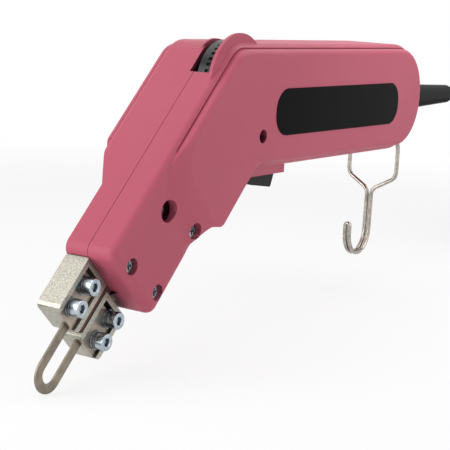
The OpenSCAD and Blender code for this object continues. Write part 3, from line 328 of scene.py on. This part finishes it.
# cuts across the rear wall, so that it can bend
def sliceRear(bm, c):
    x0, z0 = c["top"]
    count = int((c["to"] + c["padMore"] - c["from"]) / c["step"])
    for k in range(count + 1):
        s = c["from"] + c["step"] * k
        place = Vector((x0 - half * s, 0, z0 - half * s)) * mm
        faces = [f for f in bm.faces if abs(f.normal.y) < c["flat"]
                 and slopePoint(f.calc_center_median(), c)[1] > c["behind"]]
        edges = list(dict.fromkeys(e for f in faces for e in f.edges))
        verts = list(dict.fromkeys(v for f in faces for v in f.verts))
        bmesh.ops.bisect_plane(bm, geom=verts + edges + faces, dist=c["weld"] * mm, plane_co=place,
                               plane_no=(-half, 0, -half))


def cutNotch(bm, c):
    sliceRear(bm, c)
    (s0, t0), (s1, t1) = c["shoulder"], c["neck"]
    for v in bm.verts:
        s, t = slopePoint(v.co, c)
        y = v.co.y / mm
        if hypot(s - c["screw"][0], t - c["screw"][1]) < c["screwReach"]:
            if c["seat"][0] < y < c["seat"][1]:
                v.co.y -= c["seatLift"] * mm
            moveOnSlope(v, *c["screwShift"])
            continue
        end = c["to"] + c["padMore"] * smoothStep(c["padY"] - y)
        rear = t0 + (t1 - t0) * min(max((s - s0) / (s1 - s0), 0), 1)
        ease = smoothStep((s - c["from"]) / (c["deepest"] - c["from"]))
        ease *= smoothStep((end - s) / (end - c["deepest"]))
        ease *= smoothStep((t - rear + c["reach"]) / c["reach"])
        moveOnSlope(v, 0, -c["depth"] * ease)


# how a CAD node is dressed, by node: its material and its edge round in millimetres
skins = {
    "left_housing": (housingAbs, 0.0),
    "right_housing": (housingAbs, 0.0),
    "name_plate": (plateFilm, 0.2),
    "trigger": (blackAbs, 0.8),
    "thumbwheel": (polishedAbs, 0.12),
    "housing_screws": (zinc, 0.12),
    "upper_contact_block": (nickel, 0.3),
    "lower_contact_block": (nickel, 0.3),
    "upper_clamp_plate": (milled, 0.2),
    "lower_clamp_plate": (milled, 0.2),
    "insulating_strip": (fibre, 0.15),
    "clamp_screws": (zinc, 0.5),
    "flat_washers": (zinc, 0.1),
    "spring_washers": (springSteel, 0.1),
    "blade": (scaledSteel, 0.15),
    "hanging_hook": (wire, 0.0),
    "strain_relief": (pvc, 0.0),
    "plug_body": (pvc, 1.2),
    "plug_pins": (wire, 0.3),
    "cord_tie": (pvc, 0.2),
}
skinSettings = {
    "weldMm": 0.004,
    "flatDegrees": 0.6,  # faces closer than this are one face
    "sharpDegrees": 32,  # edges sharper than this are rounded, or shaded as sharp
    "segments": 2,
    "notched": {"left_housing", "right_housing", "housing_screws"},
    "fullRounds": {"clamp_screws"},  # their rounds are wide for their short edges
}


# a merged, smooth-shaded copy of a CAD node stands for it
def dress(node, mat, edgeMm, c):
    source = nodes[node]
    sharpAngle = radians(c["sharpDegrees"])
    bm = bmesh.new()
    bm.from_mesh(source.data)
    bmesh.ops.remove_doubles(bm, verts=bm.verts, dist=c["weldMm"] * mm)
    bmesh.ops.dissolve_limit(bm, angle_limit=radians(c["flatDegrees"]), verts=bm.verts, edges=bm.edges)
    if node in c["notched"]:
        cutNotch(bm, notchSettings)
    if edgeMm:
        sharp = [e for e in bm.edges if len(e.link_faces) == 2 and e.calc_face_angle() > sharpAngle]
        bmesh.ops.bevel(bm, geom=sharp, offset=edgeMm * mm, offset_type="OFFSET", affect="EDGES",
                        segments=c["segments"], profile=0.5, material=-1,
                        clamp_overlap=node not in c["fullRounds"])
    mesh = bpy.data.meshes.new(node + "Skin")
    bm.to_mesh(mesh)
    bm.free()
    mesh.polygons.foreach_set("use_smooth", [True] * len(mesh.polygons))
    mesh.set_sharp_from_angle(angle=sharpAngle)
    mesh.materials.append(mat)
    piece = bpy.data.objects.new(node + "Skin", mesh)
    bpy.context.scene.collection.objects.link(piece)
    even = piece.modifiers.new("even normals", "WEIGHTED_NORMAL")
    even.keep_sharp = True
    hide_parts(node)
    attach(piece, source["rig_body"])


def paint(node, mat):
    data = nodes[node].data
    data.materials.clear()
    data.materials.append(mat)


for node, (mat, edge) in skins.items():
    dress(node, mat, edge, skinSettings)

# what lies inside the housing keeps its CAD mesh
inner = {
    "trigger_pin": springSteel,
    "trigger_spring": springSteel,
    "micro_switch": blackAbs,
    "switch_plunger": redAcetal,
    "control_shaft": aluminium,
    "potentiometer": aluminium,
    "control_board": boardResin,
    "triac": blackAbs,
    "capacitor": yellowResin,
    "transformer_core": coreSteel,
    "coil_bobbin": bobbinNylon,
    "primary_coil": enamelled,
    "secondary_coil": copper,
    "upper_bus_bar": copper,
    "lower_bus_bar": copper,
    "inner_cord": pvc,
    "cord_clamp": blackAbs,
    "cord_clamp_screws": zinc,
    "terminal_block": ivoryNylon,
}
for node, mat in inner.items():
    paint(node, mat)
print("nodes dressed:", len(skins), "and painted:", len(inner))

# the cord in millimetres: out of the strain relief, down to the floor, into the hank and back to the plug
cordSettings = {
    "radius": 3.75,
    "exit": (162.4, -4, -2),
    "leadParts": 4,
    "hankMid": (322, -11.5),
    "hankHalf": 43,
    "hankRadius": 27,
    "hankZ": -99.95,
    "hankPitch": 8.2,
    "loops": 5,
    "lastRise": 2,
    "stepsPerLoop": 48,
    "tailSteps": 24,
    "plug": (332.5, 2, -56.1),
    "roundness": 4,
}
leadPoints = [
    (162.4, -4, -2), (169.9, -4, -2), (180, -4, -3), (188, -4, -5), (196, -3.5, -8.5), (204, -3, -14),
    (211, -2, -21), (216.5, -1, -29), (220.5, 0.5, -38), (223.5, 2.5, -48), (226, 4.5, -57), (229.5, 7, -67),
    (235, 9.3, -77.3), (242, 11.5, -86.3), (251, 13.3, -93.2), (260, 14.8, -97.6), (269, 15.5, -99.95),
    (279, 15.5, -99.95)]


# a smooth curve through the points, each span in a number of parts
def smoothRoute(points, parts):
    route = []
    last = len(points) - 1
    for i in range(last):
        a, b, c, d = (Vector(points[max(0, min(last, i + k))]) for k in (-1, 0, 1, 2))
        for k in range(parts):
            t = k / parts
            route.append(0.5 * (2 * b + (c - a) * t + (2 * a - 5 * b + 4 * c - d) * t * t
                                + (3 * b - a - 3 * c + d) * t ** 3))
    return route


# the hank after u loops, each of them a run, a fold, a climbing run and a fold
def hankPoint(c, u):
    nudge = 1e-6  # against rounding at whole quarters
    whole = floor(u + nudge)
    turn = u - whole
    quarter = floor(turn * 4 + nudge)
    w = turn * 4 - quarter
    rise = whole + min(max((turn - 0.5) * 4, 0), 1)
    late = max(u - c["loops"] + 0.5, 0) * 2
    z = c["hankZ"] + c["hankPitch"] * rise + c["lastRise"] * late
    (x0, y0), run, r = c["hankMid"], c["hankHalf"], c["hankRadius"]
    if quarter == 0:
        return Vector((x0 - run + 2 * run * w, y0 + r, z))
    if quarter == 1:
        return Vector((x0 + run + r * sin(pi * w), y0 + r * cos(pi * w), z))
    if quarter == 2:
        return Vector((x0 + run - 2 * run * w, y0 - r, z))
    return Vector((x0 - run - r * sin(pi * w), y0 - r * cos(pi * w), z))


# the whole route; the tail goes a diameter straight at both its ends
def cordRoute(c):
    route = smoothRoute(leadPoints, c["leadParts"])
    steps = c["loops"] * c["stepsPerLoop"]
    route += [hankPoint(c, k / c["stepsPerLoop"]) for k in range(steps + 1)]
    straight = 2 * c["radius"]
    start = route[-1] + Vector((straight, 0, 0))
    route.append(start)
    plug = Vector(c["plug"])
    way = plug - start
    for k in range(c["tailSteps"] + 1):
        f = k / c["tailSteps"]
        ease = smoothStep(f)
        x = straight + (way.x - 2 * straight) * f
        route.append(start + Vector((x, way.y * ease, way.z * ease)))
    route.append(plug)
    return route


def makeCord(c):
    route = cordRoute(c)
    curve = bpy.data.curves.new("cord", "CURVE")
    curve.dimensions = "3D"
    curve.bevel_depth = c["radius"] * mm
    curve.bevel_resolution = c["roundness"]
    curve.use_fill_caps = True
    spline = curve.splines.new("POLY")
    spline.points.add(len(route) - 1)
    for point, p in zip(spline.points, route):
        point.co = (*(p * mm), 1)
    spline.use_smooth = True
    curve.materials.append(pvc)
    cord = bpy.data.objects.new("cord", curve)
    bpy.context.scene.collection.objects.link(cord)
    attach(cord, "housing")
    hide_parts("cord_lead", "cord_hank", "cord_tail")


makeCord(cordSettings)

# the white floor: a share of the shadow shows near the object and fades out further off; lengths in metres
floorSettings = {
    "z": -105.3,  # millimetres
    "size": 40.0,
    "white": "#ffffff",
    "rough": 0.9,
    "shadowShare": 0.22,
    "fadeFrom": 0.35,
    "fadeTo": 0.75,
}


def makeFloor(c):
    bm = bmesh.new()
    bmesh.ops.create_grid(bm, x_segments=1, y_segments=1, size=c["size"] / 2)
    bmesh.ops.translate(bm, verts=bm.verts, vec=(0, 0, c["z"] * mm))
    mesh = bpy.data.meshes.new("floor")
    bm.to_mesh(mesh)
    bm.free()
    mat, tree, bsdf = startMaterial("white paper")
    bsdf.inputs["Base Color"].default_value = hexLinear(c["white"])
    bsdf.inputs["Roughness"].default_value = c["rough"]
    path = addNode(tree, "ShaderNodeLightPath")
    seen = addNode(tree, "ShaderNodeMath", {"operation": "MAXIMUM"}, i0=path.outputs["Is Camera Ray"],
                   i1=path.outputs["Is Glossy Ray"])
    coord = addNode(tree, "ShaderNodeTexCoord").outputs["Object"]
    away = addNode(tree, "ShaderNodeVectorMath", {"operation": "LENGTH"}, i0=coord)
    plain = addNode(tree, "ShaderNodeMapRange", {"interpolation_type": "SMOOTHSTEP"},
                    Value=away.outputs["Value"], i1=c["fadeFrom"], i2=c["fadeTo"],
                    i3=1 - c["shadowShare"], i4=1.0)
    share = addNode(tree, "ShaderNodeMath", {"operation": "MULTIPLY"}, i0=seen.outputs["Value"],
                    i1=plain.outputs["Result"])
    glow = addNode(tree, "ShaderNodeEmission", Color=hexLinear(c["white"]), Strength=1.0)
    mix = addNode(tree, "ShaderNodeMixShader", i0=share.outputs["Value"], i1=bsdf.outputs["BSDF"],
                  i2=glow.outputs["Emission"])
    tree.links.new(mix.outputs["Shader"], tree.nodes["Material Output"].inputs["Surface"])
    mesh.materials.append(mat)
    floorPiece = bpy.data.objects.new("floor", mesh)
    bpy.context.scene.collection.objects.link(floorPiece)


makeFloor(floorSettings)

# soft lamps, in metres and watts
lamps = {
    "key": {"place": (-0.75, -0.35, 0.6), "aim": (-0.08, 0, -0.02), "size": 0.6, "power": 1.2},
    "fill": {"place": (0.2, -0.9, 0.3), "aim": (0, 0, 0), "size": 0.9, "power": 2.5},
    "top": {"place": (0, 0.15, 0.9), "aim": (0, 0, 0), "size": 0.8, "power": 3.5},
    "front": {"place": (-0.6, 0.25, 0.1), "aim": (-0.1, 0, -0.02), "size": 0.6, "power": 2.9},
    "handle": {"place": (0.09, -0.1, 0.19), "aim": (0.08, -0.02, 0), "size": 0.16, "power": 0.25},
}


def makeLamp(name, c):
    data = bpy.data.lights.new(name, "AREA")
    data.size = c["size"]
    data.energy = c["power"]
    piece = bpy.data.objects.new(name, data)
    bpy.context.scene.collection.objects.link(piece)
    place = Vector(c["place"])
    look = (Vector(c["aim"]) - place).to_track_quat("-Z", "Y")
    piece.matrix_world = Matrix.Translation(place) @ look.to_matrix().to_4x4()


for name, lamp in lamps.items():
    makeLamp(name, lamp)

# the backdrop is white to the camera and in reflections, and gives the object less light than that
worldSettings = {"seen": 1.0, "light": 0.2}


def makeWorld(c):
    world = bpy.data.worlds.new("studio")
    bpy.context.scene.world = world
    world.use_nodes = True
    tree = world.node_tree
    path = addNode(tree, "ShaderNodeLightPath")
    mirrored = addNode(tree, "ShaderNodeMath", {"operation": "MAXIMUM"}, i0=path.outputs["Is Glossy Ray"],
                       i1=path.outputs["Is Transmission Ray"])
    seen = addNode(tree, "ShaderNodeMath", {"operation": "MAXIMUM"}, i0=path.outputs["Is Camera Ray"],
                   i1=mirrored.outputs["Value"])
    level = addNode(tree, "ShaderNodeMapRange", Value=seen.outputs["Value"], i3=c["light"], i4=c["seen"])
    back = tree.nodes["Background"]
    back.inputs["Color"].default_value = (1, 1, 1, 1)
    tree.links.new(level.outputs["Result"], back.inputs["Strength"])


makeWorld(worldSettings)
bpy.context.scene.view_settings.view_transform = "Standard"
print("stage and lamps set")
